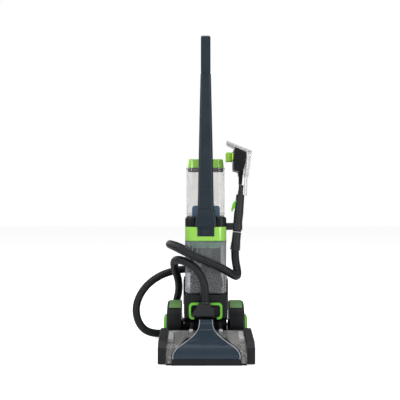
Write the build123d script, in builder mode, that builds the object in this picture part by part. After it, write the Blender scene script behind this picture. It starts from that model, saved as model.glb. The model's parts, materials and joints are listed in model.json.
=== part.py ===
from build123d import *
import math
import os

# Upright carpet washer. Millimetres, +Z up, +Y to the rear. The origin is on the floor, under the
# middle of the floor head. At rest the upright part is locked vertical over the floor head.

# ---------------------------------------------------------------- driving dimensions
wall = 3.0                      # moulded wall thickness
clear_wall = 2.5                # wall of the clear mouldings
gap = 0.3                       # air between pieces that move apart
running_fit = 0.05              # radial clearance of a shaft in its bore

head_half_width = 152.5         # floor head, to the outside of the end caps
cap_inner_x = 127.3             # inner face of an end cap
cover_half_width = 127.0
head_front_y = -70.0
head_rear_y = 70.0
lip_half_width = 109.0
sole_thickness = 4.0
deck_rear_y = 136.0

axle_y = 222.0
axle_z = 65.0
axle_radius = 6.0
wheel_radius = 65.0
tyre_depth = 7.0
wheel_inner_x = 93.0
wheel_outer_x = 131.0
fender_inner_x = 86.0
fender_outer_x = 138.0
fender_radius = 84.0
fender_open_z = 45.0            # the fender is cut away below this height

brush_y = -32.0
brush_z = 21.5
brush_core_radius = 14.0
brush_tip_radius = 20.8
stub_radius = 4.0               # bearing stubs at the ends of the brush roll
belt_x = -120.0                 # outer side of the drive belt
belt_width = 9.0
motor_y = 104.0
motor_z = 34.0
roll_pulley_radius = 13.0
motor_pulley_radius = 8.0

pivot_radius = 46.0             # barrel of the upright, around the axle
body_half_width = 75.0
body_front_y = 98.0
body_rear_y = 245.0
body_low_z = 105.0
body_top_z = 192.0
spine_half_width = 58.0
spine_rear_y = 272.0

tank_half_width = 72.0
dirty_front_y = 110.0
dirty_rear_y = 244.0
dirty_low_z = 192.8
lid_low_z = 376.0
lid_top_z = 424.0
collar_top_z = 459.0
collar_rear_y = 262.0
clean_half_width = 68.0
clean_front_y = 166.0
clean_low_z = 459.3
clean_top_z = 632.0
cap_top_z = 663.0

stem_lean = 0.067               # the stem runs back this much for each unit of height
stem_base_y = 105.0             # its front face at the height below
stem_base_z = 430.0
stem_joint_z = 960.0            # the loop handle is plugged on here

wand_foot = (111.0, 163.0, 405.0)
wand_head = (124.0, 163.0, 547.0)
wand_radius = 15.5
hose_radius = 14.5

# ---------------------------------------------------------------- shared shapes


def prism_x(points, x_low, x_high, mode=Mode.ADD):
    """An outline in Y and Z, extruded from x_low to x_high."""
    with BuildSketch(Plane.YZ.offset(x_low)) as outline:
        with BuildLine():
            Polyline(*points, close=True)
        make_face()
    extrude(outline.sketch, amount=x_high - x_low, mode=mode)


def prism_y(points, y_low, y_high, mode=Mode.ADD):
    """An outline in X and Z, extruded from y_high forward to y_low."""
    with BuildSketch(Plane.XZ.offset(-y_high)) as outline:
        with BuildLine():
            Polyline(*points, close=True)
        make_face()
    extrude(outline.sketch, amount=y_high - y_low, mode=mode)


def block(x_range, y_range, z_range, mode=Mode.ADD, corner=0.0):
    """A box, with its upright edges rounded to the corner radius."""
    centre = ((x_range[0] + x_range[1]) / 2, (y_range[0] + y_range[1]) / 2)
    width = x_range[1] - x_range[0]
    depth = y_range[1] - y_range[0]
    with BuildSketch(Plane.XY.offset(z_range[0])) as outline:
        with Locations(centre):
            if corner:
                RectangleRounded(width, depth, corner)
            else:
                Rectangle(width, depth)
    extrude(outline.sketch, amount=z_range[1] - z_range[0], mode=mode)


def rod_x(y, z, radius, x_low, x_high, mode=Mode.ADD):
    """A cylinder along X."""
    with BuildSketch(Plane.YZ.offset(x_low)) as section:
        with Locations((y, z)):
            Circle(radius)
    extrude(section.sketch, amount=x_high - x_low, mode=mode)


def rod_y(x, z, radius, y_low, y_high, mode=Mode.ADD):
    """A cylinder along Y."""
    with BuildSketch(Plane.XZ.offset(-y_high)) as section:
        with Locations((x, z)):
            Circle(radius)
    extrude(section.sketch, amount=y_high - y_low, mode=mode)


def rod_z(x, y, radius, z_low, z_high, mode=Mode.ADD, top_radius=None):
    """A cylinder or a cone along Z."""
    with BuildSketch(Plane.XY.offset(z_low)) as low:
        with Locations((x, y)):
            Circle(radius)
    if top_radius is None:
        extrude(low.sketch, amount=z_high - z_low, mode=mode)
        return
    with BuildSketch(Plane.XY.offset(z_high)) as high:
        with Locations((x, y)):
            Circle(top_radius)
    loft([low.sketch.face(), high.sketch.face()], mode=mode)


def side_range(side, inner, outer):
    """The low and high X of a piece on the left, side -1, or on the right, side 1."""
    return tuple(sorted((side * inner, side * outer)))


def between(start, end, share):
    """The point at this share of the way from start to end."""
    return tuple(a + (b - a) * share for a, b in zip(start, end))


def rod_between(start, end, radius, mode=Mode.ADD, end_radius=None):
    """A cylinder or cone from one point to another."""
    direction = Vector(*end) - Vector(*start)
    with BuildSketch(Plane(origin=start, z_dir=direction)) as low:
        Circle(radius)
    with BuildSketch(Plane(origin=end, z_dir=direction)) as high:
        Circle(radius if end_radius is None else end_radius)
    loft([low.sketch.face(), high.sketch.face()], mode=mode)


def stem_front(z):
    """Y of the stem's front face at height z."""
    return stem_base_y + (z - stem_base_z) * stem_lean


def save(piece, name):
    """Labels a finished piece and writes its file."""
    piece.part.label = name
    export_step(piece.part, f"parts/{name}.step")


os.makedirs("parts", exist_ok=True)

# ---------------------------------------------------------------- floor head: sole and covers
# The sole carries the head on the floor. It has the suction slot behind the lip and the brush bay.
brush_bay_y = (-54.0, -9.0)
suction_slot_y = (-66.0, -58.0)
cover_low_z = 6.0

with BuildPart() as sole_plate:
    block((-cover_half_width, cover_half_width), (-67, deck_rear_y), (0, sole_thickness))
    block((-lip_half_width, lip_half_width), (-71, -67), (0.5, 20))
    block((-lip_half_width, lip_half_width), (-67, -66), (0.5, 12))
    block((-105, 105), suction_slot_y, (-1, 30), mode=Mode.SUBTRACT)
    block((-122, 122), brush_bay_y, (-1, 30), mode=Mode.SUBTRACT)
    fillet(sole_plate.edges().filter_by(Axis.X).group_by(Axis.Z)[-1].group_by(Axis.Y)[0], 1.5)
save(sole_plate, "sole_plate")

cover_outer = [(-69, cover_low_z), (-69, 42), (-61, 54), (-44, 62), (69.5, 78), (69.5, 20)]
cover_inner = [(-66.5, 0), (-66.5, 41), (-59.5, 51.8), (-43, 59.4), (67, 75), (67, 0)]

# Side view of the window nozzle: its front wall rises from the lip and leans back to the neck.
nozzle_front = [(-71.5, 20.3), (-71.5, 38), (-65, 54), (-48, 66), (-10, 77), (25, 88), (50, 101), (60, 112)]
nozzle_back = [(77, 112), (70, 96), (52, 82), (25, 71), (-10, 62), (-40, 52), (-54, 40), (-58, 20.3)]
nozzle_front_in = [(-69, 10), (-69, 37), (-63, 51.5), (-47, 63.5), (-9, 74.4), (26, 85.4), (52, 98.8),
                   (65, 115)]
nozzle_back_in = [(72, 115), (67.5, 98), (50.5, 84.5), (24, 73.6), (-11, 64.6), (-42, 54), (-56.5, 41),
                  (-60.5, 10)]
# Front view of the window nozzle: a bell from the narrow neck to the full lip.
nozzle_half = [(25.5, 112), (26.5, 101), (31, 90), (44, 79.5), (68, 68), (92, 56), (104, 45),
               (lip_half_width, 34)]


def bell_outline(widen, low_z, high_z):
    """The window nozzle's front outline, widened all round, as a closed list of points."""
    side = [(x + widen, z) for x, z in nozzle_half]
    right = [(side[0][0], high_z)] + side[1:] + [(side[-1][0], low_z)]
    left = [(-x, z) for x, z in reversed(right)]
    return right + left


with BuildPart() as nozzle_void:
    prism_x(nozzle_front_in + nozzle_back_in, -cover_half_width, cover_half_width)
    prism_y(bell_outline(-clear_wall, 10, 116), -80, 90, mode=Mode.INTERSECT)

with BuildPart() as window_nozzle:
    prism_x(nozzle_front + nozzle_back, -cover_half_width, cover_half_width)
    prism_y(bell_outline(0, 10, 116), -80, 90, mode=Mode.INTERSECT)
    add(nozzle_void.part, mode=Mode.SUBTRACT)
save(window_nozzle, "window_nozzle")

with BuildPart() as nozzle_room:
    prism_x([(-80, 5)] + [(-80, 70), (-48, 80), (25, 110), (60, 130), (85, 130)]
            + [(y - 0.4, z - 0.6) for y, z in nozzle_back] + [(-56, 5)],
            -cover_half_width, cover_half_width)
    prism_y(bell_outline(0.5, 5, 130), -90, 95, mode=Mode.INTERSECT)

with BuildPart() as head_cover:
    prism_x(cover_outer, -cover_half_width, cover_half_width)
    prism_x(cover_inner, -cover_half_width + clear_wall, cover_half_width - clear_wall, mode=Mode.SUBTRACT)
    add(nozzle_room.part, mode=Mode.SUBTRACT)
    block((belt_x - 2, belt_x + belt_width + 2), (60, 80), (0, 50), mode=Mode.SUBTRACT)
    rod_x(brush_y, brush_z, stub_radius + 1.5, -130, 130, mode=Mode.SUBTRACT)
save(head_cover, "head_cover")

# The end caps close the head and hold the ends of the brush roll.
cap_profile = [(head_front_y, 4.5), (head_front_y, 55), (-50, 72), (head_rear_y, 85.6), (head_rear_y, 4.5)]
cap_pocket = [(-66, 8), (-66, 53), (-48, 68.5), (66, 81.5), (66, 8)]


def end_cap(side):
    """One end cap: a shell, open towards the head, with a bearing boss for the brush roll."""
    with BuildPart() as cap:
        prism_x(cap_profile, *side_range(side, cap_inner_x, head_half_width))
        outer = cap.faces().sort_by(Axis.X)[-1 if side > 0 else 0]
        chamfer(outer.edges(), 2)
        prism_x(cap_pocket, *side_range(side, cap_inner_x - 1, head_half_width - wall), mode=Mode.SUBTRACT)
        rod_x(brush_y, brush_z, 9, *side_range(side, cap_inner_x + 1, head_half_width - 1))
        bearing = side_range(side, cap_inner_x, head_half_width - 8)
        rod_x(brush_y, brush_z, stub_radius + running_fit, *bearing, mode=Mode.SUBTRACT)
    return cap


for side, name in ((-1, "end_cap_left"), (1, "end_cap_right")):
    save(end_cap(side), name)

# ---------------------------------------------------------------- floor head: chassis
# The chassis is a deck behind the head, a tray under the upright and two walls beside it.
deck_front_y = head_rear_y + 0.2
deck_profile = [(deck_front_y, 4.2), (deck_front_y, 77), (100, 71), (deck_rear_y, 58), (deck_rear_y, 4.2)]
deck_hollow = [(74, 0), (74, 73), (99, 67.5), (132, 55), (132, 0)]
tray_rear_y = 300.0
pedal_hub_y = 283.0
pedal_hub_z = 25.0
pedal_pin_radius = 2.5
post_x = 46.0                   # two pipe posts stand on the deck, beside the nozzle neck

with BuildPart() as base_chassis:
    prism_x(deck_profile, -cover_half_width, cover_half_width)
    prism_x(deck_hollow, -cover_half_width + wall, cover_half_width - wall, mode=Mode.SUBTRACT)
    block((-fender_inner_x, fender_inner_x), (deck_rear_y, tray_rear_y), (4.2, 9))
    for side in (-1, 1):
        block(side_range(side, fender_inner_x - 5, fender_inner_x), (deck_rear_y, tray_rear_y), (9, 50))
        rod_z(side * post_x, 84, 7.5, 70, 101, top_radius=6)
    block((-fender_inner_x, fender_inner_x), (tray_rear_y - 4, tray_rear_y), (9, 17))
    block((belt_x - 2, belt_x + belt_width + 2), (69, 75), (0, 50), mode=Mode.SUBTRACT)
    rod_x(axle_y, axle_z, axle_radius + running_fit, -90, 90, mode=Mode.SUBTRACT)
    for side in (-1, 1):
        block(side_range(side, fender_inner_x - 5, fender_inner_x), (axle_y - 12, axle_y + 12), (50, 80))
        rod_x(axle_y, axle_z, axle_radius + running_fit, *side_range(side, 80, 90), mode=Mode.SUBTRACT)
    for low, high in ((-80.9, -76.3), (-35.7, -30), (30, 35.7), (76.3, 80.9)):
        rod_x(pedal_hub_y, pedal_hub_z, 5, low, high)
        block((low, high), (pedal_hub_y - 5, pedal_hub_y + 5), (9, pedal_hub_z))
        rod_x(pedal_hub_y, pedal_hub_z, pedal_pin_radius + running_fit, low, high, mode=Mode.SUBTRACT)
save(base_chassis, "base_chassis")


def fender(side):
    """One wheel fender: an arched cover with side walls, open to the ground."""
    with BuildPart() as cover:
        rod_x(axle_y, axle_z, fender_radius, *side_range(side, fender_inner_x + 0.1, fender_outer_x))
        outer = cover.faces().sort_by(Axis.X)[-1 if side > 0 else 0]
        fillet(outer.edges(), 7)
        cavity = side_range(side, fender_inner_x + 3.6, fender_outer_x - wall)
        rod_x(axle_y, axle_z, fender_radius - 5, *cavity, mode=Mode.SUBTRACT)
        block(side_range(side, 80, 145), (100, 340), (-30, fender_open_z), mode=Mode.SUBTRACT)
        rod_x(axle_y, axle_z, axle_radius + running_fit, *side_range(side, 80, 145), mode=Mode.SUBTRACT)
    return cover


fender_left = fender(-1)
fender_right = fender(1)
save(fender_left, "fender_left")
save(fender_right, "fender_right")

# A trim strip lies over the top of each fender, its ends tapering away at the front and rear.
trim_outer_radius = fender_radius + 2.2
with BuildPart() as fender_trims:
    for side in (-1, 1):
        rod_x(axle_y, axle_z, trim_outer_radius, *side_range(side, fender_inner_x + 2, fender_outer_x - 8))
    for side in (-1, 1):
        inner = side_range(side, fender_inner_x - 2, fender_outer_x + 2)
        rod_x(axle_y, axle_z, fender_radius + 0.05, *inner, mode=Mode.SUBTRACT)
        block(inner, (100, 345), (-40, axle_z + fender_radius * 0.82), mode=Mode.SUBTRACT)
save(fender_trims, "fender_trims")

# Domed caps close the fenders over the ends of the axle.
hub_radius = 36.0
hub_reach = 13.0
with BuildPart() as hub_caps:
    for side in (-1, 1):
        hub = side_range(side, fender_outer_x + 0.1, fender_outer_x + hub_reach)
        rod_x(axle_y, axle_z, hub_radius, *hub)
    fillet(hub_caps.faces().sort_by(Axis.X)[0].edges(), 9)
    fillet(hub_caps.faces().sort_by(Axis.X)[-1].edges(), 9)
    for side in (-1, 1):
        pocket = side_range(side, fender_outer_x - 1, fender_outer_x + 4)
        rod_x(axle_y, axle_z, axle_radius + 1, *pocket, mode=Mode.SUBTRACT)
        block(side_range(side, fender_outer_x, fender_outer_x + 20), (150, 300), (0, 28), mode=Mode.SUBTRACT)
save(hub_caps, "hub_caps")

with BuildPart() as axle:
    rod_x(axle_y, axle_z, axle_radius, -fender_outer_x - 2, fender_outer_x + 2)
    chamfer(axle.edges(), 1)
save(axle, "axle")

# ---------------------------------------------------------------- wheels
rim_radius = wheel_radius - tyre_depth


def wheel(side):
    """One wheel disc: hub, web with lightening holes, and rim."""
    with BuildPart() as disc:
        rod_x(axle_y, axle_z, rim_radius, *side_range(side, wheel_inner_x, wheel_outer_x))
        for low, high in ((wheel_inner_x - 1, 107), (114, wheel_outer_x + 1)):
            face = side_range(side, low, high)
            rod_x(axle_y, axle_z, rim_radius - 4, *face, mode=Mode.SUBTRACT)
        rod_x(axle_y, axle_z, 13, *side_range(side, wheel_inner_x, wheel_outer_x))
        with BuildSketch(Plane.YZ.offset(side * 110)) as holes:
            with Locations((axle_y, axle_z)):
                with PolarLocations(33, 6):
                    Circle(9)
        extrude(holes.sketch, amount=6, both=True, mode=Mode.SUBTRACT)
        rod_x(axle_y, axle_z, axle_radius + running_fit, *side_range(side, 80, 140), mode=Mode.SUBTRACT)
    return disc


def tyre(side):
    """One tyre: a ring with rounded shoulders."""
    with BuildPart() as ring:
        rod_x(axle_y, axle_z, wheel_radius, *side_range(side, wheel_inner_x, wheel_outer_x))
        fillet(ring.edges(), 4)
        rod_x(axle_y, axle_z, rim_radius + 0.02, *side_range(side, 80, 140), mode=Mode.SUBTRACT)
    return ring


for side, hand in ((-1, "left"), (1, "right")):
    save(wheel(side), f"wheel_{hand}")
    save(tyre(side), f"tyre_{hand}")

# ---------------------------------------------------------------- brush drive
tuft_rows = 6
with BuildPart() as brush_roll:
    rod_x(brush_y, brush_z, brush_core_radius, belt_x + belt_width + 3, 122)
    with BuildSketch(Plane.YZ.offset(-104)) as tufts:
        with Locations((brush_y, brush_z)):
            with PolarLocations((brush_core_radius + brush_tip_radius) / 2 - 0.5, tuft_rows):
                Rectangle(brush_tip_radius - brush_core_radius + 1, 4)
    extrude(tufts.sketch, amount=220)
    rod_x(brush_y, brush_z, roll_pulley_radius, belt_x - 0.5, belt_x + belt_width + 3.5)
    rod_x(brush_y, brush_z, stub_radius, -140, 140)
save(brush_roll, "brush_roll")

with BuildPart() as brush_motor:
    rod_x(motor_y, motor_z, 22, -100, -10)
    chamfer(brush_motor.edges(), 1.5)
    rod_x(motor_y, motor_z, 8, -10.5, -4)
    rod_x(motor_y, motor_z, 3 + running_fit, -101, -70, mode=Mode.SUBTRACT)
save(brush_motor, "brush_motor")

with BuildPart() as motor_pulley:
    rod_x(motor_y, motor_z, motor_pulley_radius, belt_x - 0.5, belt_x + belt_width + 2)
    rod_x(motor_y, motor_z, 3, belt_x - 0.5, -71)
save(motor_pulley, "motor_pulley")

belt_thickness = 1.8


def belt_loop(clearance):
    """The outline of a loop around both pulleys, in the plane of the belt."""
    with BuildSketch(Plane.YZ.offset(belt_x)) as loop:
        with Locations((brush_y, brush_z)):
            Circle(roll_pulley_radius + clearance)
        with Locations((motor_y, motor_z)):
            Circle(motor_pulley_radius + clearance)
        make_hull()
    return loop


belt_outside = belt_loop(gap + belt_thickness)
belt_inside = belt_loop(gap)
with BuildPart() as drive_belt:
    extrude(belt_outside.sketch, amount=belt_width)
    extrude(belt_inside.sketch, amount=belt_width, mode=Mode.SUBTRACT)
save(drive_belt, "drive_belt")

# ---------------------------------------------------------------- water spray and suction in the head
# A spray bar runs across the head behind the brush, with a tip over each third of the width.
spray_bar_y = 40.0
spray_bar_z = 52.0
with BuildPart() as spray_bar:
    rod_x(spray_bar_y, spray_bar_z, 4, -80, 80)
    for x in (-64, 0, 64):
        rod_between((x, spray_bar_y, spray_bar_z), (x, spray_bar_y - 12, spray_bar_z - 14), 4.5,
                    end_radius=2.5)
save(spray_bar, "spray_bar")

# The suction duct leads from the nozzle neck under the upright to its pivot.
duct_z = 92.0
duct_start_y = 78.5
duct_end_y = 164.0
with BuildPart() as suction_duct:
    rod_y(0, duct_z, 11, duct_start_y, duct_end_y)
    for ring in range(9):
        start = duct_start_y + 8 + ring * 8
        rod_y(0, duct_z, 12.5, start, start + 3)
    rod_y(0, duct_z, 9, duct_start_y - 1, duct_end_y + 1, mode=Mode.SUBTRACT)
save(suction_duct, "suction_duct")

# ---------------------------------------------------------------- pedals

def pedal(x_range):
    """A foot pedal on its own pin, reaching out behind the chassis."""
    with BuildPart() as lever:
        rod_x(pedal_hub_y, pedal_hub_z, 5, *x_range)
        rod_x(pedal_hub_y, pedal_hub_z, pedal_pin_radius, x_range[0] - 4, x_range[1] + 4)
        prism_x([(pedal_hub_y, 27), (pedal_hub_y, 30), (296, 34), (316, 30), (316, 26), (296, 30)],
                *x_range)
    return lever


recline_pedal = pedal((-76, -36))
power_pedal = pedal((36, 76))
save(recline_pedal, "recline_pedal")
save(power_pedal, "power_pedal")

# ---------------------------------------------------------------- upright: motor housing and spine
# The housing turns on the axle. It is open at the rear, where the spine closes it.
cheek_top_z = 236.0
housing_profile = [(body_front_y, body_low_z + 8), (body_front_y, body_top_z), (body_rear_y, body_top_z),
                   (body_rear_y, body_low_z), (body_front_y + 8, body_low_z)]
housing_hollow = [(body_front_y + wall, body_low_z + 9), (body_front_y + wall, body_top_z - wall),
                  (body_rear_y + 1, body_top_z - wall), (body_rear_y + 1, body_low_z + 5),
                  (body_front_y + 9, body_low_z + 5)]
motor_x = -18.0
motor_centre_y = 178.0
motor_radius = 42.0
fan_low_z = 160.0

with BuildPart() as motor_housing:
    prism_x(housing_profile, -body_half_width, body_half_width)
    fillet(motor_housing.edges().filter_by(Axis.Z).group_by(Axis.Y)[0], 7)
    prism_x(housing_hollow, -body_half_width + wall, body_half_width - wall, mode=Mode.SUBTRACT)
    rod_x(axle_y, axle_z, pivot_radius, -body_half_width, body_half_width)
    rod_x(axle_y, axle_z, pivot_radius - 5, -body_half_width + 6, body_half_width - 6, mode=Mode.SUBTRACT)
    rod_x(axle_y, axle_z, axle_radius + 6, -body_half_width, body_half_width)
    rod_x(axle_y, axle_z, axle_radius + running_fit, -body_half_width - 1, body_half_width + 1,
          mode=Mode.SUBTRACT)
    for side in (-1, 1):
        cheek = side_range(side, tank_half_width + 0.8, tank_half_width + 6.8)
        prism_x([(148, 150), (148, cheek_top_z - 14), (160, cheek_top_z), (body_rear_y - 1, cheek_top_z),
                 (body_rear_y - 1, 150)], *cheek)
save(motor_housing, "motor_housing")

spine_low_z = 106.0
hose_pegs = ((-48, 325, 234), (-32, 343, 278))     # X, rear end and top of each peg under the hose
gland_x = 36.0                  # the mains cord enters here
gland_z = 396.0
with BuildPart() as rear_spine:
    block((-spine_half_width, spine_half_width), (body_rear_y + 1.3, spine_rear_y), (spine_low_z, lid_top_z),
          corner=6)
    block((-spine_half_width + 4, spine_half_width - 4), (body_rear_y, spine_rear_y - 4),
          (body_top_z + 6, lid_top_z - 4), mode=Mode.SUBTRACT)
    block((-body_half_width, body_half_width), (body_rear_y + 0.1, body_rear_y + 12),
          (body_low_z, body_top_z), corner=4)
    for step in range(5):
        block((-40, 40), (spine_rear_y - 2, spine_rear_y + 1), (120 + step * 12, 124 + step * 12),
              mode=Mode.SUBTRACT)
    for x, reach_y, rest_z in hose_pegs:
        block((x - 7, x + 7), (spine_rear_y - 2, reach_y), (rest_z - 6, rest_z))
        block((x - 7, x + 7), (reach_y - 5, reach_y), (rest_z, rest_z + 12))
    rod_y(gland_x, gland_z, 9, spine_rear_y - 1, spine_rear_y + 12)
    rod_y(gland_x, gland_z, 3.7, spine_rear_y - 6, spine_rear_y + 13, mode=Mode.SUBTRACT)
save(rear_spine, "rear_spine")

with BuildPart() as suction_motor:
    rod_z(motor_x, motor_centre_y, motor_radius - 6, body_low_z + 6.5, fan_low_z - 6)
    rod_z(motor_x, motor_centre_y, motor_radius, fan_low_z - 6, fan_low_z - 1)
    rod_z(motor_x, motor_centre_y, 4 + running_fit, body_low_z + 20, fan_low_z, mode=Mode.SUBTRACT)
save(suction_motor, "suction_motor")

blade_count = 9
with BuildPart() as fan_rotor:
    rod_z(motor_x, motor_centre_y, 4, body_low_z + 22, fan_low_z + 18)
    rod_z(motor_x, motor_centre_y, motor_radius - 4, fan_low_z, fan_low_z + 2)
    rod_z(motor_x, motor_centre_y, 10, fan_low_z, fan_low_z + 18)
    with BuildSketch(Plane.XY.offset(fan_low_z + 1)) as blades:
        with Locations((motor_x, motor_centre_y)):
            with PolarLocations(22, blade_count):
                Rectangle(30, 1.8, rotation=24)
    extrude(blades.sketch, amount=14)
save(fan_rotor, "fan_rotor")

with BuildPart() as water_pump:
    block((34, 66), (140, 186), (body_low_z + 5.1, body_low_z + 44), corner=5)
    rod_z(50, 163, 9, body_low_z + 44, body_low_z + 56)
    rod_y(50, body_low_z + 24, 5, 126, 140)
save(water_pump, "water_pump")

# ---------------------------------------------------------------- hose port at the front
# A latch frame surrounds the port, and the hose connector is locked into it.
frame_rear_y = body_front_y - 0.2
frame_front_y = 84.0
with BuildPart() as port_latch:
    with BuildSketch(Plane.XZ.offset(-frame_rear_y)) as frame_outline:
        with Locations((-1, 139)):
            RectangleRounded(114, 56, 13)
            RectangleRounded(99, 41, 8, mode=Mode.SUBTRACT)
        with Locations((-1, 112)):
            Rectangle(78, 20, mode=Mode.SUBTRACT)
    extrude(frame_outline.sketch, amount=frame_rear_y - frame_front_y)
save(port_latch, "port_latch")

connector_outline = [(-48, 124), (-48, 130), (-23, 168), (14, 168), (19, 155), (28, 153), (28, 124)]
connector_front_y = 64.0
port_top_z = 167.3
hose_start = (-2.0, 76.0, 175.0)
with BuildPart() as hose_connector:
    prism_y(connector_outline, connector_front_y, frame_front_y - 0.3)
    fillet(hose_connector.edges().filter_by(Axis.Y), 4)
    front_face = hose_connector.faces().sort_by(Axis.Y)[0]
    chamfer(front_face.edges(), 2.5)
    rod_z(hose_start[0], hose_start[1], 17.5, port_top_z, hose_start[2], top_radius=16)
    block((-38, 22), (72, 80), (120, 160), mode=Mode.SUBTRACT)
    rod_z(hose_start[0], hose_start[1], 7.5, 140, hose_start[2] + 1, mode=Mode.SUBTRACT)
save(hose_connector, "hose_connector")

# ---------------------------------------------------------------- dirty tank
dirty_centre_y = (dirty_front_y + dirty_rear_y) / 2
dirty_depth = dirty_rear_y - dirty_front_y


def round_box(half_width, y_range, z_range, corner, mode=Mode.ADD):
    """An upright box with rounded upright edges, centred across the machine."""
    block((-half_width, half_width), y_range, z_range, mode=mode, corner=corner)


with BuildPart() as dirty_tank:
    round_box(tank_half_width, (dirty_front_y, dirty_rear_y), (dirty_low_z, lid_low_z - 1.6), 30)
    fillet(dirty_tank.faces().sort_by(Axis.Z)[0].edges(), 6)
    round_box(tank_half_width - clear_wall, (dirty_front_y + clear_wall, dirty_rear_y - clear_wall),
              (dirty_low_z + clear_wall, lid_low_z + 1), 27.5, mode=Mode.SUBTRACT)
save(dirty_tank, "dirty_tank")

with BuildPart() as lid_seal:
    round_box(tank_half_width - 1, (dirty_front_y + 1, dirty_rear_y - 1), (lid_low_z - 1.6, lid_low_z), 29)
    round_box(tank_half_width - 4, (dirty_front_y + 4, dirty_rear_y - 4), (lid_low_z - 2, lid_low_z + 1), 26,
              mode=Mode.SUBTRACT)
save(lid_seal, "lid_seal")

latch_half_width = 29.0
latch_low_z = 392.0
latch_back_y = 118.0
with BuildPart() as dirty_tank_lid:
    round_box(tank_half_width, (dirty_front_y - 2, dirty_rear_y + 1), (lid_low_z, lid_top_z), 31)
    round_box(tank_half_width - wall, (dirty_front_y + 1, dirty_rear_y - 2),
              (lid_low_z - 1, lid_top_z - wall), 28, mode=Mode.SUBTRACT)
    block((-latch_half_width - 3, latch_half_width + 3), (dirty_front_y + 0.5, latch_back_y + 3),
          (latch_low_z - 3, lid_top_z - 1))
    block((-latch_half_width - 0.2, latch_half_width + 0.2), (90, latch_back_y), (latch_low_z - 0.2, 430),
          mode=Mode.SUBTRACT)
save(dirty_tank_lid, "dirty_tank_lid")

button_half_width = 19.0
button_z = (396.6, 418.0)
with BuildPart() as tank_latch:
    block((-latch_half_width, latch_half_width), (dirty_front_y - 5, latch_back_y - 0.2),
          (latch_low_z, lid_top_z - 0.3))
    front_face = tank_latch.faces().sort_by(Axis.Y)[0]
    chamfer(front_face.edges(), 1.2)
    block((-button_half_width - gap, button_half_width + gap), (90, latch_back_y - 2.5),
          (button_z[0] - gap, button_z[1] + gap), mode=Mode.SUBTRACT)
save(tank_latch, "tank_latch")

with BuildPart() as latch_button:
    block((-button_half_width, button_half_width), (dirty_front_y - 3, dirty_front_y + 1.2), button_z)
    fillet(latch_button.edges().filter_by(Axis.Y), 2)
    chamfer(latch_button.faces().sort_by(Axis.Y)[0].edges(), 0.8)
save(latch_button, "latch_button")

# A bowl under the lid parts the air from the water, with a cage for the float below it. The riser
# brings the dirty water up to the bowl.
float_x = -30.0
float_y = 192.0
float_radius = 14.0
float_low_z = 262.0
float_height = 40.0
riser_x = 3.0
riser_y = 150.0
bowl_low_z = 349.0
with BuildPart() as separator_bowl:
    with BuildSketch(Plane.XY.offset(lid_low_z + 2)) as bowl_top:
        with Locations((0, dirty_centre_y)):
            RectangleRounded(134, dirty_depth - 10, 26)
    with BuildSketch(Plane.XY.offset(bowl_low_z)) as bowl_base:
        with Locations((0, dirty_centre_y)):
            RectangleRounded(96, dirty_depth - 44, 22)
    loft([bowl_base.sketch.face(), bowl_top.sketch.face()])
    with BuildSketch(Plane.XY.offset(lid_low_z + 3)) as void_top:
        with Locations((0, dirty_centre_y)):
            RectangleRounded(129, dirty_depth - 15, 23)
    with BuildSketch(Plane.XY.offset(bowl_low_z + clear_wall)) as void_base:
        with Locations((0, dirty_centre_y)):
            RectangleRounded(91, dirty_depth - 49, 19)
    loft([void_base.sketch.face(), void_top.sketch.face()], mode=Mode.SUBTRACT)
    rod_z(riser_x, riser_y, 11, bowl_low_z - 5, bowl_low_z + 8, mode=Mode.SUBTRACT)
    for angle in (0, 90, 180, 270):
        x = float_x + (float_radius + 3.5) * math.cos(math.radians(angle))
        y = float_y + (float_radius + 3.5) * math.sin(math.radians(angle))
        rod_z(x, y, 1.6, float_low_z - 1, bowl_low_z + 1)
    rod_z(float_x, float_y, float_radius + 5.5, float_low_z - 4, float_low_z)
    rod_z(float_x, float_y, float_radius - 4, float_low_z - 6, float_low_z + 2, mode=Mode.SUBTRACT)
save(separator_bowl, "separator_bowl")

with BuildPart() as riser_column:
    block((riser_x - 20, riser_x + 20), (riser_y - 15, riser_y + 15),
          (dirty_low_z + clear_wall, bowl_low_z - 0.2), corner=8)
    block((riser_x - 17.5, riser_x + 17.5), (riser_y - 12.5, riser_y + 12.5),
          (dirty_low_z - 5, bowl_low_z + 5), mode=Mode.SUBTRACT, corner=6)
save(riser_column, "riser_column")

with BuildPart() as shutoff_float:
    rod_z(float_x, float_y, float_radius, float_low_z + gap, float_low_z + float_height)
    fillet(shutoff_float.edges(), 5)
save(shutoff_float, "shutoff_float")

# ---------------------------------------------------------------- collar and clean tank
stem_foot_half = 39.0
pocket_rear_y = 152.0
with BuildPart() as collar:
    round_box(tank_half_width, (dirty_front_y + 2, collar_rear_y), (lid_top_z + gap, collar_top_z), 24)
    fillet(collar.faces().sort_by(Axis.Z)[-1].edges(), 9)
    round_box(tank_half_width - wall, (dirty_front_y + 5, collar_rear_y - wall),
              (lid_top_z, collar_top_z - 4), 21, mode=Mode.SUBTRACT)
    block((-stem_foot_half - 3, stem_foot_half + 3), (dirty_front_y + 12, pocket_rear_y + 3),
          (lid_top_z + gap, collar_top_z - 1))
    block((-stem_foot_half - 0.2, stem_foot_half + 0.2), (80, pocket_rear_y), (420, 470), mode=Mode.SUBTRACT)
save(collar, "collar")

dock_half_width = 49.0
with BuildPart() as tank_dock:
    with BuildSketch(Plane.XZ.offset(-(clean_front_y - 1.5))) as dock_outline:
        with Locations((1, (collar_top_z + 497) / 2 - 6)):
            RectangleRounded(2 * dock_half_width, 497 - collar_top_z + 12, 10)
        with Locations((1, collar_top_z - 15)):
            Rectangle(120, 30.2, mode=Mode.SUBTRACT)
    extrude(dock_outline.sketch, amount=8)
save(tank_dock, "tank_dock")

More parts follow.
